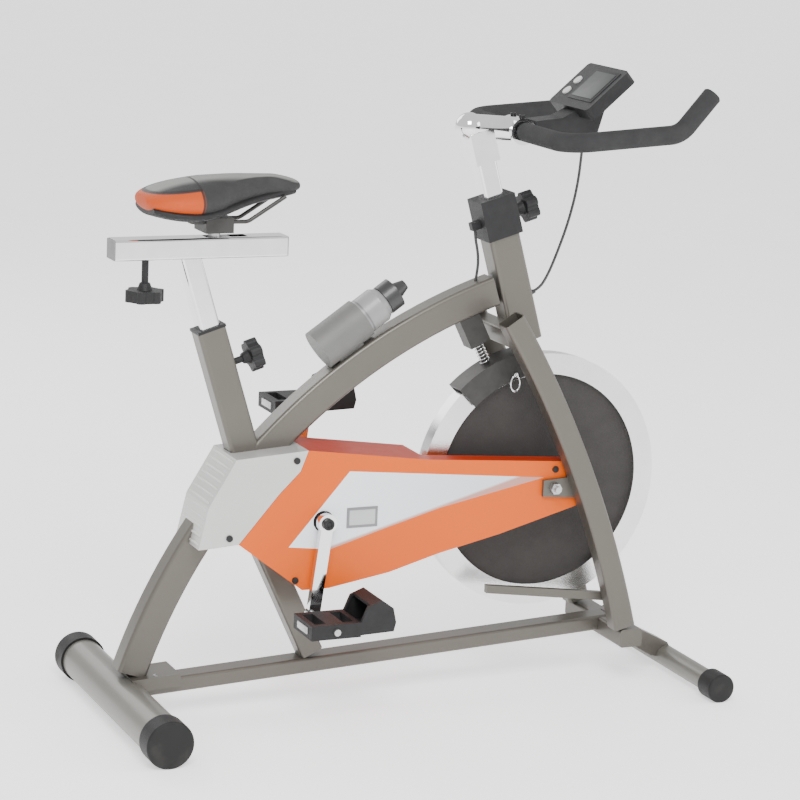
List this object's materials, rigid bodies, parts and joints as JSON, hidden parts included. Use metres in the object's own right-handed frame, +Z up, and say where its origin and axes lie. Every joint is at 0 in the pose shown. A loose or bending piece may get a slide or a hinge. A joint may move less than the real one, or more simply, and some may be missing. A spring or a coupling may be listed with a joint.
{
  "type": "exercise bike",
  "caption": "Indoor cycling bike with a curved box-tube frame, side flywheel under a chain guard, sliding saddle, bent handlebar, toe-cage pedals and a bottle holder.",
  "frame": {"origin": "on the floor, midway between the two feet and on the bike's centre plane", "axes": "+X to the bike's front, +Y to the rider's left, +Z up"},
  "size_m": [1.146, 0.526, 1.1407],
  "materials": {
    "frame_grey": "warm grey metallic paint, satin",
    "foot_grey": "light grey metallic paint",
    "rubber_black": "moulded rubber, matt",
    "chrome": "bright chrome plate",
    "steel": "zinc plated steel",
    "black_plastic": "grained black resin",
    "orange_plastic": "orange injection moulding, semi gloss",
    "silver_plastic": "silver painted moulding",
    "pale_panel": "pale silver panel",
    "iron_dark": "charcoal painted cast iron",
    "rim_chrome": "machined and chrome plated rim",
    "black_metal": "black painted steel",
    "foam": "dark grey foam sleeve",
    "saddle_skin": "black vinyl with orange side panels",
    "bottle_grey": "grey bottle plastic"
  },
  "bodies": {
    "frame": {"rear_stabilizer_tube": "foot_grey", "rear_stabilizer_caps": "rubber_black", "front_stabilizer_tube": "foot_grey", "front_stabilizer_caps": "rubber_black", "main_beam": "frame_grey", "head_tube": "frame_grey", "fork_leg_right": "frame_grey", "fork_leg_left": "frame_grey", "seat_tube": "frame_grey", "seat_post_bush": "black_plastic", "base_rail": "frame_grey", "center_strut": "frame_grey", "bottom_bracket_shell": "frame_grey", "front_foot_bracket": "frame_grey", "flywheel_axle": "steel", "axle_nuts": "steel", "crank_bearings": "steel", "drive_chain": "steel", "chain_guard_outer": "orange_plastic", "guard_window": "pale_panel", "chain_guard_inner": "orange_plastic", "rear_cover_right": "silver_plastic", "rear_cover_left": "silver_plastic", "cover_screws": "black_metal", "head_clamp_sleeve": "black_plastic", "brake_cable": "rubber_black", "brake_bracket": "black_metal", "bottle_holder": "bottle_grey"},
    "flywheel": {"flywheel_disc": "iron_dark", "flywheel_rim": "rim_chrome", "flywheel_hub": "steel"},
    "crank": {"crank_spindle": "steel", "crank_arm_right": "chrome", "crank_arm_left": "chrome", "pedal_axles": "steel", "chainring": "steel"},
    "pedal_right": {"pedal_body_right": "black_plastic", "toe_cage_right": "black_plastic"},
    "pedal_left": {"pedal_body_left": "black_plastic", "toe_cage_left": "black_plastic"},
    "seat_post": {"seat_post": "chrome", "slider_beam": "chrome"},
    "saddle": {"slide_bar": "steel", "saddle_clamp": "black_metal", "saddle_pad": "saddle_skin", "saddle_shell": "black_plastic"},
    "handlebar": {"handlebar_post": "chrome", "stem_head": "chrome", "handlebar_tube": "black_metal", "foam_grips": "foam", "console_housing": "black_plastic", "console_cable": "rubber_black"},
    "bottle": {"bottle": "bottle_grey"},
    "brake": {"brake_shoe": "black_metal", "brake_pad": "rubber_black"},
    "seat_height_knob": {"seat_height_knob": "black_plastic"},
    "seat_slide_knob": {"seat_slide_knob": "black_plastic"},
    "handlebar_knob": {"handlebar_knob": "black_plastic"},
    "key_upper": {"console_key_upper": "pale_panel"},
    "key_lower": {"console_key_lower": "pale_panel"}
  },
  "joints": [
    {"name": "flywheel_spin", "type": "hinge", "parent": "frame", "child": "flywheel", "pos_m": [0.258, 0, 0.387], "axis": [0, 1, 0], "continuous": true},
    {"name": "crank_spin", "type": "hinge", "parent": "frame", "child": "crank", "pos_m": [-0.19, 0, 0.354], "axis": [0, 1, 0], "continuous": true},
    {"name": "pedal_spin_right", "type": "hinge", "parent": "crank", "child": "pedal_right", "pos_m": [-0.21011, 0, 0.19023], "axis": [0, 1, 0], "continuous": true},
    {"name": "pedal_spin_left", "type": "hinge", "parent": "crank", "child": "pedal_left", "pos_m": [-0.16989, 0, 0.51777], "axis": [0, 1, 0], "continuous": true},
    {"name": "seat_height", "type": "slide", "parent": "frame", "child": "seat_post", "axis": [-0.299, 0, 0.9542], "range_m": [-0.09, 0.04]},
    {"name": "saddle_slide", "type": "slide", "parent": "seat_post", "child": "saddle", "axis": [1, 0, 0], "range_m": [-0.005, 0.045]},
    {"name": "handlebar_height", "type": "slide", "parent": "frame", "child": "handlebar", "axis": [-0.2823, 0, 0.9593], "range_m": [-0.05, 0.06]},
    {"name": "bottle_lift", "type": "slide", "parent": "frame", "child": "bottle", "axis": [0.8192, 0, 0.5736], "range_m": [0, 0.1]},
    {"name": "brake_press", "type": "slide", "parent": "frame", "child": "brake", "axis": [0.454, 0, -0.891], "range_m": [0, 0.0015], "stiffness_N_per_m": 4000, "springref_m": -0.01},
    {"name": "seat_height_knob_turn", "type": "hinge", "parent": "frame", "child": "seat_height_knob", "pos_m": [-0.36697, 0, 0.6233], "axis": [0.9542, 0, 0.299], "continuous": true},
    {"name": "seat_slide_knob_turn", "type": "hinge", "parent": "seat_post", "child": "seat_slide_knob", "pos_m": [-0.505, 0, 0.78], "axis": [0, 0, 1], "continuous": true},
    {"name": "handlebar_knob_turn", "type": "hinge", "parent": "frame", "child": "handlebar_knob", "pos_m": [0.1504, 0, 0.87362], "axis": [0.9593, 0, 0.2823], "continuous": true},
    {"name": "key_upper_press", "type": "slide", "parent": "handlebar", "child": "key_upper", "axis": [0.6547, 0, -0.7559], "range_m": [0, 0.0015], "stiffness_N_per_m": 500, "springref_m": -0.001},
    {"name": "key_lower_press", "type": "slide", "parent": "handlebar", "child": "key_lower", "axis": [0.6547, 0, -0.7559], "range_m": [0, 0.0015], "stiffness_N_per_m": 500, "springref_m": -0.001}
  ],
  "couplings": [
    {"joint": "crank_spin", "follows": "flywheel_spin", "ratio": 0.36364}
  ]
}
